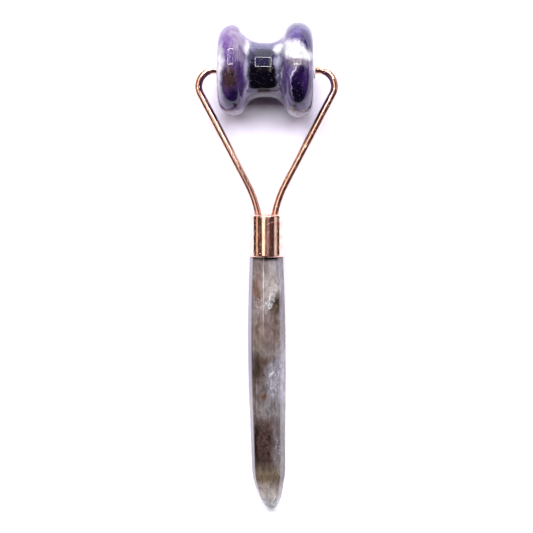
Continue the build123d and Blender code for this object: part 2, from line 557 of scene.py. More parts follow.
@dataclass(frozen=True)
class BandedAmethyst:
    """The spool's stone: chevron amethyst, sawn, drilled and tumble polished.

    Purple quartz with milky bands gives the eye deep dark purple pools, grey-violet clouds and white
    streaks under one hard, wet-looking gloss.
    """

    ior: float = 1.50
    roughness: float = 0.05
    worn: float = 2.5
    depth: float = 0.42
    shades: tuple[float, float] = (0.68, 1.24)
    folds: tuple[tuple[float, float], ...] = ((4.0, 1.0), (0.9, 0.45))    # (grain, reach) of its bends
    clouds: Cloud = Cloud(5.0, 6.0, (3.1, 0.4, 7.7))                      # colour clouds 5 mm wide
    purples: Stops = (
        (0.30, "#2E1B4A"), (0.42, "#4E3874"), (0.52, "#715B94"), (0.62, "#9D8CBA"), (0.74, "#CDC2DC"),
    )
    # milk quartz crystals and inclusions are finer than this, and are drawn as coarse as they show
    grit: Cloud = Cloud(0.9, 6.0, (2.0, 7.0, 1.0), (1, 1, 1.4), 0.7)
    mottle: Cloud = Cloud(1.5, 5.0, (5.3, 8.1, 2.2), (1, 1, 2.2))
    speck: str = "#8E88A6"
    speck_grain: float = 0.35
    speck_level: float = 0.66
    speck_strength: float = 0.5
    polish: Cloud = Cloud(1.4, 3.0)

    def build(self, tool: ToolFrame, zones: Sequence[ColourZone]) -> bpy.types.Material:
        """Makes the material with its zones.

        Args:
            tool: the tool's axes, which the zones' places are given in.
            zones: the stone's large patches of colour.

        Returns:
            The material.
        """
        stone = Surface("banded_amethyst", tool)
        for grain, reach in self.folds:
            stone.warp(grain, reach)
        ramp = add(stone.tree, "ValToRGB", (stone.noise(self.clouds).outputs[0],), self.purples)
        ramp.color_ramp.interpolation = "EASE"
        colour = stone.zones(ramp.outputs[0], zones, self.grit)
        dark, light = self.shades
        colour = stone.shade(colour, self.mottle, self.depth * dark, self.depth * light)
        colour = stone.specks(colour, self.speck, self.speck_grain, self.speck_level, self.speck_strength)
        polish = stone.spread(self.polish, stone.WORN_SPAN, self.roughness, self.roughness * self.worn)
        return stone.finish(colour, polish, {"IOR": self.ior})


@dataclass(frozen=True)
class SmokyQuartz:
    """The handle's stone: smoky quartz with grey moonstone-like clouds, ground to facets and polished.

    It gives the eye a grey, slightly lilac body with brown and black inclusions, milky specks, and
    flat facets that each catch the light as one.
    """

    ior: float = 1.54
    roughness: float = 0.07
    worn: float = 2.5
    depth: float = 0.455
    shades: tuple[float, float] = (0.72, 1.25)
    streak_shades: tuple[float, float] = (0.78, 1.18)
    folds: tuple[tuple[float, float], ...] = ((5.0, 1.6), (1.2, 0.45))    # (grain, reach) of its bends
    clouds: Cloud = Cloud(6.0, 6.0, (0.4, 6.6, 1.9), (1, 1, 1.6))         # grey clouds 6 mm wide
    greys: Stops = (
        (0.28, "#5A4A45"), (0.42, "#7B6D6B"), (0.52, "#8F827F"), (0.62, "#A29893"), (0.75, "#BAB2B2"),
    )
    # its inclusions and the fibres along it are finer, and are drawn as coarse as they show
    grit: Cloud = Cloud(0.75, 6.0, (2.0, 7.0, 1.0), (1, 1, 1.4), 0.7)
    mottle: Cloud = Cloud(1.3, 5.0, (2.2, 3.4, 0.7), (1, 1, 1.8))
    streaks: Cloud = Cloud(0.7, 2.0, (5.0, 5.0, 5.0), (1, 1, 12))
    polish: Cloud = Cloud(1.8, 3.0)

    def build(self, tool: ToolFrame, zones: Sequence[ColourZone]) -> bpy.types.Material:
        """Makes the material with its zones.

        Args:
            tool: the tool's axes, which the zones' places are given in.
            zones: the stone's large patches of colour.

        Returns:
            The material.
        """
        stone = Surface("smoky_quartz", tool)
        for grain, reach in self.folds:
            stone.warp(grain, reach)
        ramp = add(stone.tree, "ValToRGB", (stone.noise(self.clouds).outputs[0],), self.greys)
        ramp.color_ramp.interpolation = "EASE"
        colour = stone.zones(ramp.outputs[0], zones, self.grit)
        dark, light = self.shades
        colour = stone.shade(colour, self.mottle, self.depth * dark, self.depth * light)
        colour = stone.shade(colour, self.streaks, *self.streak_shades)
        polish = stone.spread(self.polish, stone.WORN_SPAN, self.roughness, self.roughness * self.worn)
        return stone.finish(colour, polish, {"IOR": self.ior})


@dataclass(frozen=True)
class RoseGoldPlate:
    """The fork's and ferrule's metal: brass, polished and plated with rose gold.

    A copper-pink mirror that gives the eye sharp bands of its surroundings, broken by the fine
    scratches and specks of handling.
    """

    colour: str = "#F2C6B6"
    rubbed: str = "#E8B4A3"
    roughness: float = 0.035
    scratched: float = 3.0
    # hairline scratches 6 mm long, drawn 0.25 mm wide, because real ones are too fine to show
    scratches: Cloud = Cloud(0.25, 2.0, (1.0, 2.0, 3.0), (24, 1, 1))
    wear: Cloud = Cloud(2.5, 5.0, (6.0, 2.0, 4.0))
    dents: Cloud = Cloud(0.45, 2.0, (4.0, 1.0, 8.0))
    wear_span: tuple[float, float] = (0.4, 0.7)
    scratch_span: tuple[float, float] = (0.45, 0.75)
    dent_span: tuple[float, float] = (0.58, 0.68)
    scratch_strength: float = 0.2
    dent_strength: float = 0.6
    relief: float = 0.04           # how deep scratches and dents look, in millimetres

    def build(self, tool: ToolFrame) -> bpy.types.Material:
        """Makes the plated metal's material.

        Args:
            tool: the tool's axes, along which the scratches run.

        Returns:
            The material.
        """
        metal = Surface("rose_gold_plate", tool)
        tree = metal.tree
        scratches = metal.noise(self.scratches).outputs[0]
        worn = metal.spread(self.wear, self.wear_span, 0.0, 1.0)
        inputs = {0: worn, UNDER: linear(self.colour), OVER: linear(self.rubbed)}
        colour = add(tree, "Mix", inputs, data_type="RGBA").outputs[MIXED]
        inputs = (scratches, *self.scratch_span, self.roughness, self.roughness * self.scratched)
        rough = add(tree, "MapRange", inputs, interpolation_type=SMOOTH).outputs[0]
        pits = metal.spread(self.dents, self.dent_span, 1.0, 0.0)
        inputs = {"Height": scratches, "Strength": self.scratch_strength, "Distance": self.relief * MM}
        bump = add(tree, "Bump", inputs).outputs[0]
        inputs = {"Height": pits, "Strength": self.dent_strength, "Distance": self.relief * MM}
        bump = add(tree, "Bump", inputs | {"Normal": bump}).outputs[0]
        return metal.finish(colour, rough, {"Metallic": 1.0, "Normal": bump})


@dataclass(frozen=True)
class NaturalNylon:
    """The bushes' plastic: natural nylon, injection moulded.

    Milky and slightly waxy, so that the flange gives the eye a soft pale ring against the stone.
    """

    colour: str = "#EDE6DC"
    flow_tint: str = "#DCD2C6"
    ior: float = 1.53
    milkiness: float = 0.2
    roughness: float = 0.38
    dulled: float = 1.3
    flow: Cloud = Cloud(0.8, 3.0)
    flow_span: tuple[float, float] = (0.35, 0.7)

    def build(self, tool: ToolFrame) -> bpy.types.Material:
        """Makes the nylon's material, with faint flow marks from moulding.

        Args:
            tool: the tool's axes.

        Returns:
            The material.
        """
        plastic = Surface("natural_nylon", tool)
        marks = plastic.spread(self.flow, self.flow_span, 0.0, 1.0)
        inputs = {0: marks, UNDER: linear(self.colour), OVER: linear(self.flow_tint)}
        colour = add(plastic.tree, "Mix", inputs, data_type="RGBA").outputs[MIXED]
        rough = plastic.spread(self.flow, plastic.SHADE_SPAN, self.roughness, self.roughness * self.dulled)
        return plastic.finish(colour, rough, {"IOR": self.ior, "Subsurface Weight": self.milkiness})


@dataclass(frozen=True)
class ClearEpoxy:
    """The cement round the bushes and inside the ferrule: clear epoxy, poured and cured.

    It gives the eye a thin, glossy, faintly yellow line with small bubbles in it.
    """

    colour: str = "#D9CBA8"
    bubble: str = "#F2EBDA"
    bubble_grain: float = 0.3      # millimetres: coarser than real bubbles, so that they show
    bubble_level: float = 0.6
    bubble_strength: float = 0.7
    ior: float = 1.55
    roughness: float = 0.15
    rippled: float = 2.0
    ripples: Cloud = Cloud(0.7, 2.0)

    def build(self, tool: ToolFrame) -> bpy.types.Material:
        """Makes the epoxy's material, with pale specks for its bubbles.

        Args:
            tool: the tool's axes.

        Returns:
            The material.
        """
        glue = Surface("clear_epoxy", tool)
        grains = (self.bubble_grain, self.bubble_level, self.bubble_strength)
        colour = glue.specks(linear(self.colour), self.bubble, *grains)
        rough = glue.spread(self.ripples, glue.SHADE_SPAN, self.roughness, self.roughness * self.rippled)
        return glue.finish(colour, rough, {"IOR": self.ior})


@dataclass(frozen=True)
class PaleTable:
    """The table under the tool: matt white laminate, which gives the eye an even bright ground.

    It glows a little where it is far from the roller, as a lit studio sweep does, so that it is as
    bright all over as it is under the lamp.
    """

    colour: str = "#E9E4F6"
    fleck: str = "#E6E1F3"
    fleck_size: float = 3.0        # millimetres
    fleck_detail: float = 3.0
    fleck_span: tuple[float, float] = (0.3, 0.7)
    roughness: float = 0.6
    specular: float = 0.2
    glow: float = 0.95
    glow_middle: Point = (0, 0.055, 0)    # under the roller, in metres, as the next two are
    glow_start: float = 0.045
    glow_end: float = 0.23

    def build(self) -> bpy.types.Material:
        """Makes the table's material, with a barely seen grain.

        Returns:
            The material.
        """
        material = bpy.data.materials.new("pale_table")
        material.use_nodes = True
        tree = material.node_tree
        tree.nodes.clear()
        place = add(tree, "TexCoord").outputs["Object"]
        inputs = {"Vector": place, "Scale": 1 / (self.fleck_size * MM), "Detail": self.fleck_detail}
        flecks = add(tree, "TexNoise", inputs).outputs[0]
        mask = add(tree, "MapRange", (flecks, *self.fleck_span), interpolation_type=SMOOTH).outputs[0]
        inputs = {0: mask, UNDER: linear(self.colour), OVER: linear(self.fleck)}
        colour = add(tree, "Mix", inputs, data_type="RGBA").outputs[MIXED]
        away = add(tree, "VectorMath", (place, self.glow_middle), operation="DISTANCE").outputs["Value"]
        inputs = (away, self.glow_start, self.glow_end, 0.0, self.glow)
        glow = add(tree, "MapRange", inputs, interpolation_type=SMOOTH).outputs[0]
        inputs = {"Base Color": colour, "Roughness": self.roughness, "Specular IOR Level": self.specular}
        inputs |= {"Emission Color": WHITE, "Emission Strength": glow}
        shader = add(tree, "BsdfPrincipled", inputs)
        add(tree, "OutputMaterial", (shader.outputs[0],))
        return material


def cover(node: bpy.types.Object, material: bpy.types.Material) -> None:
    """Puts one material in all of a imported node's slots.

    Args:
        node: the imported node's object.
        material: what it gets.
    """
    if not node.material_slots:
        node.data.materials.append(material)
    for slot in node.material_slots:
        slot.material = material


# ---------------------------------------------------------------------------------------------------
# The roller
# ---------------------------------------------------------------------------------------------------


@dataclass
class Roller:
    """The amethyst spool with its two nylon bushes, which turns in the fork."""

    tool: ToolFrame
    left_end: float = 14.7
    right_end: float = 14.4
    left_rim: float = 13.9
    right_rim: float = 14.6
    waist: float = 8.4
    left_lobe: float = 6.0
    right_lobe: float = 7.5
    left_flank: float = 60.0
    right_flank: float = 64.0
    end_rounds: tuple[float, float] = (4.3, 4.8)
    crest_rounds: tuple[float, float] = (2.8, 3.8)
    waist_rounds: tuple[float, float] = (7.5, 5.0)
    bore: float = 2.2
    unevenness: float = 0.12
    ripple: Unevenness = Unevenness(7, 9.0)
    ground_from: float = 1.5       # how far outside the bore the unevenness begins
    ground_over: float = 4.0       # and the distance over which it grows to its full size
    swell: float = 1.2
    swell_place: float = -8.0
    swell_width: float = 2.2
    step: float = 0.3
    bore_rows: int = 40
    turns: int = 288

    def outline(self) -> np.ndarray:
        """The spool's half section, from the bore round the outside to the bore again.

        Returns:
            Rows of (along the spin axis, radius), in millimetres.
        """
        left_crest = self.left_lobe - self.left_end
        right_crest = self.right_end - self.right_lobe
        left_foot = left_crest + (self.left_rim - self.waist) / math.tan(math.radians(self.left_flank))
        right_foot = right_crest - (self.right_rim - self.waist) / math.tan(math.radians(self.right_flank))
        corners = (
            (-self.left_end, self.bore),
            (-self.left_end, self.left_rim),
            (left_crest, self.left_rim),
            (left_foot, self.waist),
            (right_foot, self.waist),
            (right_crest, self.right_rim),
            (self.right_end, self.right_rim),
            (self.right_end, self.bore),
        )
        (left_end, right_end), (left_crest, right_crest) = self.end_rounds, self.crest_rounds
        radii = (left_end, left_crest, *self.waist_rounds, right_crest, right_end)
        return rounded_path(corners, radii, self.step)

    def on_top(self, across: float, along: float) -> Point:
        """The point of the upper surface above a place in the fork's plane.

        Args:
            across: the place's distance along the spin axis, in millimetres.
            along: its distance down the tool.

        Returns:
            The point as (across, up, along).
        """
        outline = self.outline()
        radius = float(np.interp(across, outline[:, 0], outline[:, 1]))
        return (across, math.sqrt(max(radius**2 - along**2, 0.0)), along)

    def build(self) -> bpy.types.Object:
        """Makes the polished spool and hides the plain one.

        The radius of each point is the outline's, less a hair of unevenness that fades to nothing at
        the bore, so the stone looks worked by hand. The left lobe's inner flank swells inwards on one
        side: points there move along the axis by swell * sin(angle)^2 * exp(-(distance / width)^2).

        Returns:
            The spool.
        """
        outline = self.outline()
        back = np.linspace(outline[-1, 0], -self.left_end, self.bore_rows)[1:-1]
        closed = np.concatenate([outline, np.stack([back, np.full(len(back), self.bore)], axis=1)])
        grid = lathe(closed, self.turns)
        angle = round_angles(self.turns)[None, :]
        share = np.clip((closed[:, 1:] - self.bore - self.ground_from) / self.ground_over, 0, 1)
        ripple = self.ripple.at(angle, closed[:, :1])
        worn = 1 - self.unevenness * share * (0.5 + 0.5 * ripple) / np.maximum(closed[:, 1:], 1.0)
        grid[..., 1:] *= worn[..., None]
        side = np.clip(np.sin(angle), 0, None) ** 2
        near = np.exp(-(((closed[:, :1] - self.swell_place) / self.swell_width) ** 2)) * share
        grid[..., 0] += self.swell * side * near
        spool = grid_piece("roller_stone_polished", self.tool.place(grid), True, True)
        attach(spool, "roller")
        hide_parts("roller_stone")
        return spool

    def zones(self) -> list[ColourZone]:
        """The spool's patches of colour, with painted shade on the waist's lower side.

        Returns:
            The patches, lower layers first.
        """
        top = self.on_top
        return [
            # the waist: a black indigo pool between mottled grey-blue clouds and milky feet, with painted
            # shade on its lower side
            ColourZone("#67658B", top(-0.8, -6.6), (6.0, 3.0, 2.2)),
            ColourZone("#38364F", top(-0.8, -4.2), (5.0, 3.0, 2.0)),
            ColourZone("#4C4A66", top(-5.2, 0.3), (1.1, 3.5, 8.5)),
            ColourZone("#605D7B", top(4.4, -0.6), (1.2, 3.5, 6.5), turn=-4),
            ColourZone("#CFCBE2", top(4.6, -1.0), (1.4, 3.5, 6.5), turn=-4, grain=0.5),
            ColourZone("#B4B2D0", top(-5.3, -1.0), (1.0, 3.5, 7.0), grain=0.52),
            # painted shade: the waist's lower side and the inner flanks below it, which face away from the
            # lamp, darkened almost to black
            ColourZone("#0A0218", (-0.6, -2.0, 10.8), (7.2, 10.0, 5.8), edge=0.3),
            ColourZone("#F6F3FC", top(-5.6, -6.6), (0.9, 3.0, 2.6)),
            ColourZone("#F2F0FA", top(4.0, -6.2), (1.8, 3.0, 1.6), turn=20),
            ColourZone("#04020E", top(-0.9, 1.2), (4.2, 6.0, 5.0), edge=0.15),
            ColourZone("#04020E", top(-0.8, 4.2), (4.3, 4.5, 2.8), edge=0.15),
            ColourZone("#222240", top(-0.9, -2.1), (3.8, 4.0, 1.4), edge=0.3),
            ColourZone("#B0AECC", top(3.7, -2.4), (1.3, 3.5, 1.7), edge=0.6),
            # the left lobe: lilac above, a brown and purple pool below, milky round its edge
            ColourZone("#967EAA", top(-10.5, -9.5), (4.6, 8.0, 5.5), edge=0.4),
            ColourZone("#7A549E", top(-12.0, -8.2), (2.0, 4.0, 3.8), edge=0.6),
            ColourZone("#9C86AC", top(-8.0, -5.2), (1.7, 3.5, 4.4), turn=8, edge=0.6),
            ColourZone("#9C8AAC", top(-9.5, -10.8), (1.5, 2.2, 1.4), edge=0.4),
            ColourZone("#6E5098", top(-10.6, -3.4), (1.3, 3.0, 2.8), edge=0.6),
            ColourZone("#DCD2E8", top(-9.5, -5.0), (3.6, 3.5, 5.0), edge=0.4, grain=0.55, strength=0.6),
            ColourZone("#F6F0FF", top(-13.7, 0.6), (1.2, 3.5, 8.5)),
            ColourZone("#BAAED2", top(-6.2, 4.6), (0.8, 3.5, 7.0), turn=-4),
            ColourZone("#573B7E", top(-9.3, 5.2), (4.3, 5.5, 7.8), edge=0.2),
            ColourZone("#4E3636", top(-10.6, 2.8), (2.4, 4.0, 4.0), edge=0.7),
            ColourZone("#1E0E20", top(-9.6, 3.2), (1.8, 4.0, 2.4), edge=0.6, grain=0.46, strength=0.8),
            ColourZone("#240F4A", top(-9.5, 9.0), (2.3, 4.0, 3.4)),
            ColourZone("#7E68B0", top(-8.0, 6.5), (2.0, 4.0, 5.0), grain=0.57, strength=0.6),
            ColourZone("#D8BCDC", top(-10.1, 13.3), (4.6, 2.6, 1.5), edge=0.4),
            # the right lobe: speckled purple, a white band, then a deep purple pool with a crack
            ColourZone("#6A6784", top(10.0, -12.8), (5.5, 4.5, 3.0)),
            ColourZone("#5A4490", top(10.2, -10.8), (3.8, 3.5, 2.4)),
            ColourZone("#2E1E60", top(10.6, -10.6), (3.4, 3.5, 2.2), grain=0.5),
            ColourZone("#E2DCEC", top(8.4, -5.8), (5.2, 4.5, 2.9), turn=-22, strength=0.9),
            ColourZone("#FFFFFF", top(8.6, -5.2), (4.6, 4.5, 2.0), turn=-22),
            ColourZone("#FFFFFF", top(9.6, -5.4), (5.0, 4.5, 3.4), turn=-24, edge=0.4, grain=0.5),
            ColourZone("#F8F6FC", top(12.0, -3.9), (3.2, 4.5, 1.4), turn=-18),
            ColourZone("#26125C", top(12.7, -8.8), (1.6, 3.5, 3.9), turn=26, edge=0.45),
            ColourZone("#8E8292", top(9.4, -1.6), (3.8, 3.0, 1.3)),
            ColourZone("#5A4C4C", top(7.4, -1.6), (2.2, 2.5, 1.4), grain=0.48),
            ColourZone("#5E4A84", top(6.9, 4.8), (1.6, 3.5, 6.2)),
            ColourZone("#7A7098", top(13.2, 8.6), (1.3, 3.5, 3.6)),
            ColourZone("#1D0A3C", top(10.8, 4.8), (3.1, 5.0, 5.8), edge=0.16),
            ColourZone("#0A0322", top(9.6, 7.4), (1.9, 4.5, 3.6)),
            ColourZone("#402262", top(12.3, 4.4), (1.2, 3.5, 4.4), edge=0.6, strength=0.9),
            ColourZone("#8C7ABC", top(11.2, 2.6), (2.2, 4.0, 4.6), grain=0.6, strength=0.6),
            ColourZone("#DCCEDC", top(9.6, 13.3), (4.6, 2.6, 1.5), edge=0.4),
            ColourZone("#9A8E84", top(8.0, 11.7), (1.0, 2.0, 1.0), edge=0.6),
            ColourZone("#E8E0EE", top(8.4, 0.9), (0.18, 3.0, 2.2), turn=-25, edge=0.7, strength=0.75),
            ColourZone("#B8ACCC", top(7.9, 5.6), (0.16, 3.0, 3.6), turn=6, edge=0.7, strength=0.7),
            ColourZone("#38101E", top(11.6, 11.7), (2.5, 2.5, 0.22), turn=8, edge=0.6, strength=0.9),
            # the underside and the back
            ColourZone("#2A1A50", (-9.5, -9.0, 8.0), (4.5, 5.0, 5.5), edge=0.4),
            ColourZone("#D9D4E4", (9.5, -11.0, -6.0), (5.0, 4.0, 2.4), turn=20, edge=0.4),
            ColourZone("#2C1B58", (10.0, -11.5, 5.0), (4.0, 4.0, 5.0), edge=0.4),
            ColourZone("#1A103C", (-1.0, -8.0, -2.0), (4.0, 3.0, 5.0), edge=0.4),
        ]

    def dress(self, spool: bpy.types.Object, nodes: dict[str, bpy.types.Object]) -> None:
        """Gives the spool its stone, the bushes their nylon and the films their epoxy.

        Args:
            spool: what build() returned.
            nodes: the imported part's objects by name.
        """
        spool.data.materials.append(BandedAmethyst().build(self.tool, self.zones()))
        nylon = NaturalNylon().build(self.tool)
        epoxy = ClearEpoxy().build(self.tool)
        for side in ("left", "right"):
            cover(nodes[f"{side}_bush"], nylon)
            cover(nodes[f"{side}_bush_glue"], epoxy)


# ---------------------------------------------------------------------------------------------------
# The fork and the ferrule
# ---------------------------------------------------------------------------------------------------


@dataclass
class Fork:
    """The plated wire fork: one round rod from pin to pin, with a hairpin hidden in the ferrule."""

    tool: ToolFrame
    radius: float = 1.25
    pins: tuple[float, float] = (-7.7, 7.4)
    shoulder: float = 24.08
    knee: tuple[float, float] = (3.60, 38.9)
    hairpin_corner: float = 57.43
    bends: tuple[float, float, float] = (5.0, 34.0, 2.24)
    tip_chamfer: float = 0.3
    step: float = 0.35
    turns: int = 48

    def build(self) -> bpy.types.Object:
        """Sweeps the rod along its path, with chamfered pin tips, and hides the plain one.

        Returns:
            The fork.
        """
        shoulder_bend, knee_bend, hairpin_bend = self.bends
        knee_x, knee_s = self.knee
        corners = (
            (self.pins[0], 0.0),
            (-self.shoulder, 0.0),
            (-knee_x, knee_s),
            (0.0, self.hairpin_corner),
            (knee_x, knee_s),
            (self.shoulder, 0.0),
            (self.pins[1], 0.0),
        )
        bends = (shoulder_bend, knee_bend, hairpin_bend, knee_bend, shoulder_bend)
        flat = rounded_path(corners, bends, self.step)
        chamfer = np.array([[self.tip_chamfer, 0.0]])
        flat = np.concatenate([flat[:1], flat[:1] - chamfer, flat[1:-1], flat[-1:] + chamfer, flat[-1:]])
        path = np.stack([flat[:, 0], np.zeros(len(flat)), flat[:, 1]], axis=1)
        radii = np.full(len(path), self.radius)
        radii[[0, -1]] -= self.tip_chamfer
        grid = tube(path, radii, np.array([0.0, 1.0, 0.0]), self.turns)
        fork = grid_piece("fork_wire_plated", self.tool.place(grid), False, False)
        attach(fork, "handle")
        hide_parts("fork_wire")
        return fork


@dataclass
class Ferrule:
    """The plated sleeve between the fork and the handle, with a thin lip turned in over its cap."""

    tool: ToolFrame
    top: float = 43.8
    length: float = 13.1
    radius: float = 5.6
    wall: float = 0.6
    lip_thickness: float = 0.05
    lip_reach: float = 0.3
    top_round: float = 0.85
    mouth_round: float = 0.55
    seam: float = 2.0              # where the section's outline starts and ends, from the top
    step: float = 0.12
    turns: int = 192

    def build(self) -> bpy.types.Object:
        """Turns the sleeve's section about the tool's axis and hides the plain one.

        Returns:
            The sleeve.
        """
        mouth = self.top + self.length
        inside = self.radius - self.wall
        corners = (
            (self.top + self.seam, inside),
            (self.top + self.lip_thickness, inside),
            (self.top, inside - self.lip_reach),
            (self.top, self.radius),
            (mouth, self.radius),
            (mouth, inside),
            (self.top + self.seam, inside),
        )
        radii = (0.0, 0.0, self.top_round, self.mouth_round, 0.0)
        turned = lathe(rounded_path(corners, radii, self.step)[:-1], self.turns)
        grid = np.stack([turned[..., 1], turned[..., 2], turned[..., 0]], axis=-1)
        sleeve = grid_piece("ferrule_sleeve", self.tool.place(grid), True, True)
        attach(sleeve, "handle")
        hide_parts("ferrule_shell")
        return sleeve

    def dress(self, metal: Sequence[bpy.types.Object], nodes: dict[str, bpy.types.Object]) -> None:
        """Plates the new metal pieces and the cap, and gives the potting its epoxy.

        Args:
            metal: the fork and the sleeve.
            nodes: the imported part's objects by name.
        """
        plate = RoseGoldPlate().build(self.tool)
        for piece in metal:
            piece.data.materials.append(plate)
        cover(nodes["ferrule_cap"], plate)
        cover(nodes["ferrule_potting"], ClearEpoxy().build(self.tool))


# ---------------------------------------------------------------------------------------------------
# The handle
# ---------------------------------------------------------------------------------------------------


@dataclass
class Handle:
    """The long eight-sided quartz point, bowed a little to one side, with a round tenon on top.

    Each facet is (the direction that it faces in degrees from up towards +X, and its distance from
    the middle as a share of the section's corner radius), because the stone was ground by hand.
    """

    tool: ToolFrame
    mouth: float = 56.9
    length: float = 78.4
    point: float = 8.0
    tenon_start: float = 50.2
    tenon_radius: float = 4.4
    tenon_step: float = 0.02       # where the tenon ends, above the mouth
    mouth_radius: float = 5.17
    belly_radius: float = 5.89
    shoulder_radius: float = 4.45
    belly_share: float = 0.4
    taper_power: float = 2.2
    shoulder_drift: float = 0.75
    tip_drift: float = 1.5
    tip_radius: float = 1.1
    tip_bulge: float = 0.45
    tip_blunt: float = 0.9         # the length over which the tip closes as a quarter circle
    blend: float = 1.6
    spread: float = 0.5
    spread_place: float = 125.0
    spread_width: float = 9.0
    facets: tuple[tuple[float, float], ...] = (
        (-30, 0.937), (18, 0.886), (66, 0.925), (109, 0.93),
        (153, 0.915), (198, 0.92), (243, 0.93), (287, 0.93),
    )
    sharpness: float = 44.0
    round_reach: float = 0.93      # the facets' mean distance
    tip_facets: float = 0.35       # how much of the facets is left at the tip
    facets_fade: float = 2.5       # over this length
    unevenness: float = 0.006
    ripple: Unevenness = Unevenness(3, 14.0)
    point_lead: float = 3.0        # how far above the point its finer rows begin
    point_crowding: float = 1.5    # the power that crowds them towards the tip
    rows: tuple[int, int, int] = (8, 150, 70)
    turns: int = 288

    def section_radius(self, share: np.ndarray) -> np.ndarray:
        """The corner radius at a share of the way from the mouth to the point.

        It grows with the square of the distance from the belly up to the mouth, and falls with a
        power of the distance from the belly down to the shoulder.

        Args:
            share: 0 at the mouth, 1 where the point begins.

        Returns:
            The radius in millimetres at each share.
        """
        above = np.clip((self.belly_share - share) / self.belly_share, 0, 1)
        below = np.clip((share - self.belly_share) / (1 - self.belly_share), 0, None)
        upper = self.belly_radius - (self.belly_radius - self.mouth_radius) * above**2
        lower = (self.belly_radius - self.shoulder_radius) * below**self.taper_power
        return upper - lower

    def facet_reach(self, angle: np.ndarray) -> np.ndarray:
        """The section's radius in a direction as a share of its corner radius.

        One over the p-norm of cos(angle - facing) / distance over all facets, which is the polygon
        with corners rounded the more the lower p is.

        Args:
            angle: directions round the section, from up towards +X.

        Returns:
            The reach in each direction.
        """
        facing = np.radians([f[0] for f in self.facets])[:, None]
        distance = np.array([f[1] for f in self.facets])[:, None]
        lean = np.clip(np.cos(angle - facing) / distance, HAIR, None)
        return 1 / np.sum(lean**self.sharpness, axis=0) ** (1 / self.sharpness)

    def build(self) -> bpy.types.Object:
        """Makes the polished handle and hides the plain one.

        Row by row, the radius is the tenon's circle, then the section's corner radius times the
        facets' reach, then the smaller of that and a cone to the blunt tip, smoothed where they meet.
        Above the point the section spreads a little sideways: across grows by spread * sin(angle).

        Returns:
            The handle.
        """
        tip = self.mouth + self.length
        shoulder = tip - self.point
        tenon_rows, body_rows, point_rows = self.rows
        tenon = np.linspace(self.tenon_start, self.mouth - self.tenon_step, tenon_rows)
        body = np.linspace(self.mouth, shoulder - self.point_lead, body_rows)
        nearing = np.linspace(1, 0, point_rows)[1:] ** self.point_crowding
        stations = np.concatenate([tenon, body, tip - (self.point + self.point_lead) * nearing])
        angle = round_angles(self.turns)
        share = np.clip((stations - self.mouth) / (shoulder - self.mouth), 0, None)
        size = self.section_radius(share)
        left = np.clip(tip - stations, 0, None)
        cone = self.tip_radius + (self.shoulder_radius - self.tip_radius) * left / self.point
        cone = cone + self.tip_bulge * np.sin(math.pi * np.clip(left / self.point, 0, 1))
        gap = np.clip((self.blend - np.abs(size - cone)) / self.blend, 0, None)
        size = np.minimum(size, cone) - gap**2 * self.blend / 4
        closing = np.clip(1 - left / self.tip_blunt, 0, 1)
        size = size * np.sqrt(np.clip(1 - closing**2, TIP_CLOSED, 1))
        faceted = self.tip_facets + (1 - self.tip_facets) * np.clip(left / self.facets_fade, 0, 1)[:, None]
        reach = np.repeat(self.facet_reach(angle)[None], len(stations), axis=0)
        radius = size[:, None] * (self.round_reach + (reach - self.round_reach) * faceted)
        radius *= 1 + self.unevenness * self.ripple.at(angle[None], stations[:, None])
        radius[:tenon_rows] = self.tenon_radius
        past = np.clip((stations - shoulder) / self.point, 0, 1)
        drift = self.shoulder_drift * np.clip(share, 0, 1) ** 2
        drift = drift + (self.tip_drift - self.shoulder_drift) * past
        spread = self.spread * np.exp(-(((stations - self.spread_place) / self.spread_width) ** 2))
        grid = np.stack([
            drift[:, None] + (radius + spread[:, None]) * np.sin(angle),
            radius * np.cos(angle),
            np.repeat(stations[:, None], self.turns, axis=1),
        ], axis=-1)
        handle = grid_piece("handle_stone_polished", self.tool.place(grid), False, True)
        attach(handle, "handle")
        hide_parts("handle_stone")
        return handle

    def on_top(self, across: float, along: float, up: float = 4.6) -> Point:
        """A point just under the upper facets, in millimetres."""
        return (across, up, along)

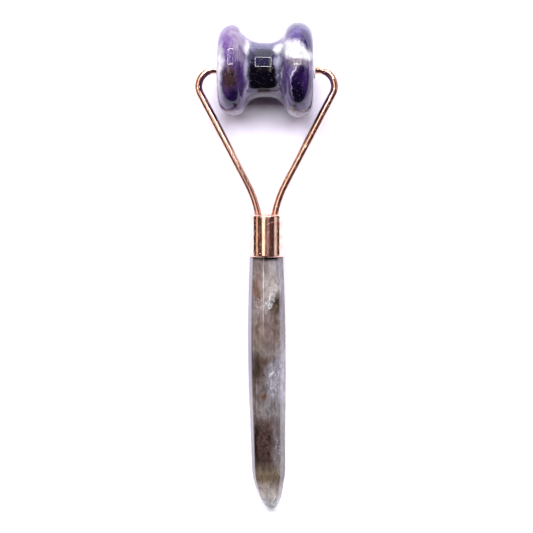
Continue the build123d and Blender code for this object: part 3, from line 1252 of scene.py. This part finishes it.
    def zones(self) -> list[ColourZone]:
        """The handle's patches of colour, from the ferrule down, with a painted shadow and painted highlights
        among them.

        Returns:
            The patches, lower layers first.
        """
        top = self.on_top
        return [
            # under the ferrule: a painted shadow along its mouth, then streaky brown and grey with a painted
            # cream highlight on the ridge
            ColourZone("#9C8F94", top(0.0, 68.0), (6.5, 6.0, 13.0), edge=0.3),
            ColourZone("#6C666E", (-5.6, 2.4, 76.0), (1.6, 4.0, 17.0), strength=0.7),
            ColourZone("#75696C", top(0.0, 59.4), (6.0, 6.0, 2.4), edge=0.6, strength=0.8),
            ColourZone("#9294A6", top(3.0, 61.0), (2.4, 4.0, 2.6), edge=0.6, strength=0.8),
            ColourZone("#5C4C5A", top(1.2, 60.8), (1.2, 3.0, 1.0), edge=0.6, strength=0.8),
            ColourZone("#BCB0AE", top(2.0, 64.6), (2.8, 4.0, 5.6), edge=0.6),
            ColourZone("#8A7270", top(-2.9, 66.4), (1.1, 4.0, 6.0), edge=0.7),
            ColourZone("#70483A", top(-3.0, 67.0), (0.9, 4.0, 2.6), edge=0.8, strength=0.85),
            ColourZone("#DAD4D2", top(1.2, 65.5), (2.8, 4.0, 4.4), grain=0.58, strength=0.7),
            ColourZone("#43352F", top(3.3, 72.2), (2.1, 3.5, 4.6), turn=-26),
            ColourZone("#75654E", top(3.4, 72.4), (2.2, 3.5, 3.2), grain=0.5),
            ColourZone("#E6E4E6", top(1.8, 69.4), (1.3, 3.5, 5.0), turn=-30, edge=0.6, grain=0.47),
            ColourZone("#DCDADC", top(-2.2, 70.6), (1.7, 3.0, 2.6), turn=20, edge=0.6, grain=0.52),
            ColourZone("#F4F6FA", top(0.7, 71.6), (1.1, 3.0, 1.2), edge=0.6, grain=0.44),
            # painted shadow: a dark band across the handle just under the ferrule's mouth
            ColourZone("#1C100C", top(0.0, 57.0), (6.5, 7.0, 0.9), edge=0.7, crisp=True),
            ColourZone("#897774", top(0.8, 80.0), (5.5, 5.0, 6.0)),
            ColourZone("#6A564C", top(-2.4, 78.0), (0.5, 4.0, 5.0), edge=0.7, strength=0.8),
            ColourZone("#6E5A50", top(3.0, 77.5), (0.5, 4.0, 4.0), edge=0.7, strength=0.7),
            ColourZone("#584640", top(0.6, 79.0), (4.5, 4.0, 7.0), grain=0.63, strength=0.7),
            # the middle: a brown-black band down the left ridge, lavender grey with white specks right
            ColourZone("#7F7374", top(0.8, 95.0), (5.0, 5.0, 10.0), edge=0.4),
            ColourZone("#5F4A40", top(-0.8, 88.6), (3.4, 3.5, 1.2), turn=14, edge=0.7),
            ColourZone("#46302A", top(-2.7, 90.0), (1.4, 3.5, 4.6), edge=0.7),
            ColourZone("#1E0E0A", top(-2.9, 90.4), (0.9, 3.5, 2.8), edge=0.7),
            ColourZone("#2A1612", top(-1.4, 95.0), (2.4, 3.5, 5.0), grain=0.54),
            ColourZone("#45302A", top(2.6, 93.0), (2.4, 3.5, 2.0), grain=0.6),
            ColourZone("#9F9AA8", top(2.7, 94.6), (2.4, 4.0, 6.0), edge=0.6, strength=0.9),
            ColourZone("#ACA6B2", (4.0, 4.4, 95.5), (1.1, 3.5, 9.0), edge=0.6, strength=0.7),
            ColourZone("#C6C2CE", (5.8, 2.4, 95.0), (1.4, 4.0, 11.0)),
            ColourZone("#453E48", (-5.0, 3.0, 90.0), (1.5, 4.0, 5.4), edge=0.6, strength=0.9),
            ColourZone("#ECEAF2", top(2.8, 94.5), (2.4, 4.0, 5.4), grain=0.52),
            ColourZone("#6E4634", top(-0.8, 99.6), (1.1, 3.0, 1.0), edge=0.7, strength=0.9),
            ColourZone("#8F8789", top(1.4, 103.4), (4.2, 4.0, 3.0), strength=0.9),
            # the lower third: dark speckled brown, a grey right side, then olive brown, a pale point and
            # painted light at its end
            ColourZone("#5C4843", top(-0.4, 115.2), (4.6, 5.0, 8.0), edge=0.35),
            ColourZone("#3A2522", top(-0.8, 115.0), (3.4, 5.0, 8.0), edge=0.4, grain=0.48),
            ColourZone("#200E0C", top(-0.4, 115.0), (2.8, 5.0, 7.4), grain=0.57),
            ColourZone("#20120F", top(-3.1, 114.4), (0.8, 4.0, 7.0), edge=0.6, strength=0.85),
            ColourZone("#8A7260", top(-1.4, 115.5), (2.6, 4.5, 7.0), grain=0.62),
            ColourZone("#8A7F84", top(3.3, 115.0), (1.6, 3.0, 7.6), edge=0.6, strength=0.85),
            ColourZone("#E4E0E4", top(3.2, 117.0), (1.4, 3.0, 5.0), grain=0.56),
            ColourZone("#8C7862", top(-0.4, 125.2), (5.0, 6.0, 3.2), edge=0.8),
            ColourZone("#EADCD8", (1.0, 0.0, 133.8), (7.0, 7.0, 6.6)),
            # painted light: the point's end whitened so that its own shade and the dark it mirrors don't show
            ColourZone("#FFFFFF", (1.4, 0.0, 136.0), (5.0, 5.0, 5.0)),
            # a painted cream highlight along the ridge between the two upper facets, and a dark line down the
            # left ridge
            # painted highlight: two pale cream lines along the ridge, standing in for the lamp's light
            # mirrored in it
            ColourZone("#E6D2B4", (-0.75, 5.0, 68.5), (0.18, 2.5, 10.0), edge=0.6, strength=0.6, crisp=True),
            ColourZone("#FFF2DC", (-0.75, 5.0, 66.5), (0.16, 2.5, 5.0), edge=0.7, strength=0.7, crisp=True),
            ColourZone("#2A1A14", (-3.35, 4.2, 94.0), (0.22, 2.5, 11.0), edge=0.7, strength=0.7, crisp=True),
            # the underside
            ColourZone("#3A2A26", (0.0, -4.6, 70.0), (3.5, 3.0, 7.0)),
            ColourZone("#B5AEB8", (1.0, -4.6, 88.0), (4.0, 3.0, 6.0)),
            ColourZone("#2E1E1A", (-1.0, -4.6, 108.0), (3.0, 3.0, 6.0)),
        ]

    def dress(self, handle: bpy.types.Object) -> None:
        """Gives the handle its smoky quartz."""
        handle.data.materials.append(SmokyQuartz().build(self.tool, self.zones()))


# ---------------------------------------------------------------------------------------------------
# Table, light and camera
# ---------------------------------------------------------------------------------------------------


class Bands(Enum):
    """What the metal mirrors overhead, by the sideways angle from straight up.

    Each band is (the angle where it starts, where it ends, its hex colour), in degrees from straight
    up towards +X. From one band to the next the colours blend.
    """

    PALE_EDGE_LEFT = (-120, -120, "#FFFFFF")
    DARK_LEFT = (-99, -70, "#1C100E")
    GLOW_LEFT = (-65, -61, "#BCAC96")
    BROWN_LEFT = (-57, -30, "#3A2A27")
    BRIGHT_LEFT = (-24, -14, "#FFFAE8")
    DUSK_MIDDLE = (-8, 2, "#55484A")
    ROSE_MIDDLE = (6, 12, "#7A6468")
    ROSE_RIGHT = (18, 36, "#332829")
    DARK_RIGHT = (40, 47, "#221716")
    BRIGHT_RIGHT = (53, 65, "#A8A6A6")
    GREY_RIGHT = (68, 71, "#7A7676")
    DUSK_RIGHT = (76, 102, "#241916")
    PALE_EDGE_RIGHT = (104, 104, "#FFFFFF")

    def stops(self) -> Stops:
        """The band's start and end as places on a ramp from -180 to 180 degrees, without repeats."""
        start, end, colour = self.value
        return [((angle + 180) / 360, colour) for angle in sorted({start, end})]


@dataclass
class Studio:
    """The pale table, the soft lights round the tool and the camera straight above it, in metres."""

    camera_height: float = 0.60
    lens: float = 130.0
    sensor: float = 36.0
    clip: tuple[float, float] = (0.01, 20.0)
    aim: tuple[float, float] = (0.0, 0.0003)
    table_size: float = 6.0
    table_drop: float = 0.00005
    frame_lean: float = 27.0
    frame_glow: float = 38.0
    frame_size: tuple[float, float] = (0.40, 0.32)
    frame_strip: float = 0.010
    frame_distance: float = 0.45
    frame_middle: Point = (0.0, 0.06, 0.0)
    lamp_lean: float = 29.0
    lamp_side: float = -0.02
    lamp_forward: float = 0.02
    lamp_distance: float = 0.46
    lamp_size: tuple[float, float] = (0.48, 0.40)
    lamp_power: float = 7.5
    # the room: bands overhead, a dark wall near the horizon, a bright window beyond the roller, a dark
    # corner behind the handle, and how strongly it is mirrored and lights the rest
    wall: str = "#241A1A"
    wall_span: tuple[float, float] = (0.22, 0.34)
    window: Point = (0.66, 0.64, 0.65)
    window_span: tuple[float, float] = (0.72, 0.84)
    corner: str = "#2A242A"
    corner_span: tuple[float, float] = (-0.3, -0.12)
    mirrored: float = 2.6
    fill: Point = (0.10, 0.095, 0.13)
    backdrop: str = "#F2F0F1"

    def camera(self) -> None:
        """Puts the camera straight above the table, with +Y up in its view."""
        data = bpy.data.cameras.new("camera")
        data.lens = self.lens
        data.sensor_width = self.sensor
        data.clip_start, data.clip_end = self.clip
        view = bpy.data.objects.new("camera", data)
        view.location = (*self.aim, self.camera_height)
        bpy.context.scene.collection.objects.link(view)
        bpy.context.scene.camera = view

    def table(self) -> None:
        """Lays the pale table just under the tool."""
        half = self.table_size / 2
        corners = np.array([[-1, -1], [1, -1], [1, 1], [-1, 1]]) * half
        mesh = bpy.data.meshes.new("table")
        mesh.from_pydata([(x, y, -self.table_drop) for x, y in corners.tolist()], [], [(0, 1, 2, 3)])
        mesh.materials.append(PaleTable().build())
        new_piece("table", mesh)

    def light_frame(self) -> None:
        """Hangs a thin rectangular light frame beyond the roller, which the polished stones mirror."""
        tilt = math.radians(self.frame_lean)
        normal = np.array([0.0, math.sin(tilt), math.cos(tilt)])
        right = np.array([1.0, 0.0, 0.0])
        top = np.cross(normal, right)
        centre = normal * self.frame_distance + np.array(self.frame_middle)
        outer = np.array([[-1, -1], [1, -1], [1, 1], [-1, 1]]) * (np.array(self.frame_size) / 2)
        inner = outer - np.sign(outer) * self.frame_strip
        ring = np.concatenate([outer, inner])
        points = centre + ring[:, :1] * right + ring[:, 1:] * top
        side = np.arange(4)
        after = (side + 1) % 4
        faces = np.stack([side, after, after + 4, side + 4], axis=1)
        mesh = bpy.data.meshes.new("light_frame")
        mesh.from_pydata(points.tolist(), [], faces.tolist())
        glow = bpy.data.materials.new("lamp_glow")
        glow.use_nodes = True
        glow.node_tree.nodes.clear()
        light = add(glow.node_tree, "Emission", (WHITE, self.frame_glow))
        add(glow.node_tree, "OutputMaterial", (light.outputs[0],))
        mesh.materials.append(glow)
        frame = new_piece("light_frame", mesh)
        frame.visible_camera = False
        frame.visible_diffuse = False
        frame.visible_shadow = False

    def lamp(self) -> None:
        """Hangs the soft lamp that lights the table and the tool from beyond the roller."""
        tilt = math.radians(self.lamp_lean)
        data = bpy.data.lights.new("soft_lamp", "AREA")
        data.shape = "RECTANGLE"
        data.size, data.size_y = self.lamp_size
        data.energy = self.lamp_power
        lamp = bpy.data.objects.new("soft_lamp", data)
        forward, height = math.sin(tilt) * self.lamp_distance, math.cos(tilt) * self.lamp_distance
        lamp.location = (self.lamp_side, forward + self.lamp_forward, height)
        lamp.rotation_euler = (-tilt, 0.0, 0.0)
        lamp.visible_camera = False
        lamp.visible_glossy = False
        bpy.context.scene.collection.objects.link(lamp)

    def surroundings(self) -> None:
        """Makes the room that the metal mirrors: light and dark bands side by side overhead.

        The band is picked by the sideways angle of the direction from straight up, atan2(x, z).
        """
        world = bpy.data.worlds.new("room")
        world.use_nodes = True
        tree = world.node_tree
        tree.nodes.clear()
        direction = add(tree, "TexCoord").outputs["Generated"]
        x, y, z = add(tree, "SeparateXYZ", (direction,)).outputs
        lateral = add(tree, "Math", (x, z), operation="ARCTAN2").outputs[0]
        place = add(tree, "MapRange", (lateral, -math.pi, math.pi)).outputs[0]
        stops = [stop for band in Bands for stop in band.stops()]
        colour = add(tree, "ValToRGB", (place,), stops).outputs[0]
        for height, span, ends, tint in (
            (z, self.wall_span, (1.0, 0.0), linear(self.wall)),
            (y, self.window_span, (0.0, 1.0), (*self.window, 1.0)),
            (y, self.corner_span, (1.0, 0.0), linear(self.corner)),
        ):
            mask = add(tree, "MapRange", (height, *span, *ends), interpolation_type=SMOOTH).outputs[0]
            inputs = {0: mask, UNDER: colour, OVER: tint}
            colour = add(tree, "Mix", inputs, data_type="RGBA").outputs[MIXED]
        rays = add(tree, "LightPath").outputs
        inputs = {0: rays["Is Glossy Ray"], UNDER: (*self.fill, 1.0), OVER: (*(self.mirrored,) * 3, 1.0)}
        strength = add(tree, "Mix", inputs, data_type="RGBA").outputs[MIXED]
        inputs = {0: 1.0, UNDER: colour, OVER: strength}
        colour = add(tree, "Mix", inputs, data_type="RGBA", blend_type="MULTIPLY").outputs[MIXED]
        inputs = {0: rays["Is Camera Ray"], UNDER: colour, OVER: linear(self.backdrop)}
        colour = add(tree, "Mix", inputs, data_type="RGBA").outputs[MIXED]
        background = add(tree, "Background", (colour, 1.0))
        add(tree, "OutputWorld", (background.outputs[0],))
        bpy.context.scene.world = world

    def build(self) -> None:
        """Sets up the camera, the table, the surroundings and the lights."""
        self.camera()
        self.table()
        self.surroundings()
        self.light_frame()
        self.lamp()
        view = bpy.context.scene.view_settings
        view.view_transform = "Standard"
        view.look = "None"


def main() -> None:
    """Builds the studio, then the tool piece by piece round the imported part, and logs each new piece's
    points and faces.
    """
    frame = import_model()
    tool = ToolFrame.from_part(frame)
    nodes = frame["nodes"]
    Studio().build()

    roller = Roller(tool)
    spool = roller.build()
    roller.dress(spool, nodes)

    fork = Fork(tool).build()
    ferrule = Ferrule(tool)
    sleeve = ferrule.build()
    ferrule.dress((fork, sleeve), nodes)

    stone = Handle(tool)
    handle = stone.build()
    stone.dress(handle)

    for piece in (spool, fork, sleeve, handle):
        log.info("%s: %d points, %d faces", piece.name, len(piece.data.vertices), len(piece.data.polygons))


if __name__ == "__main__":
    main()
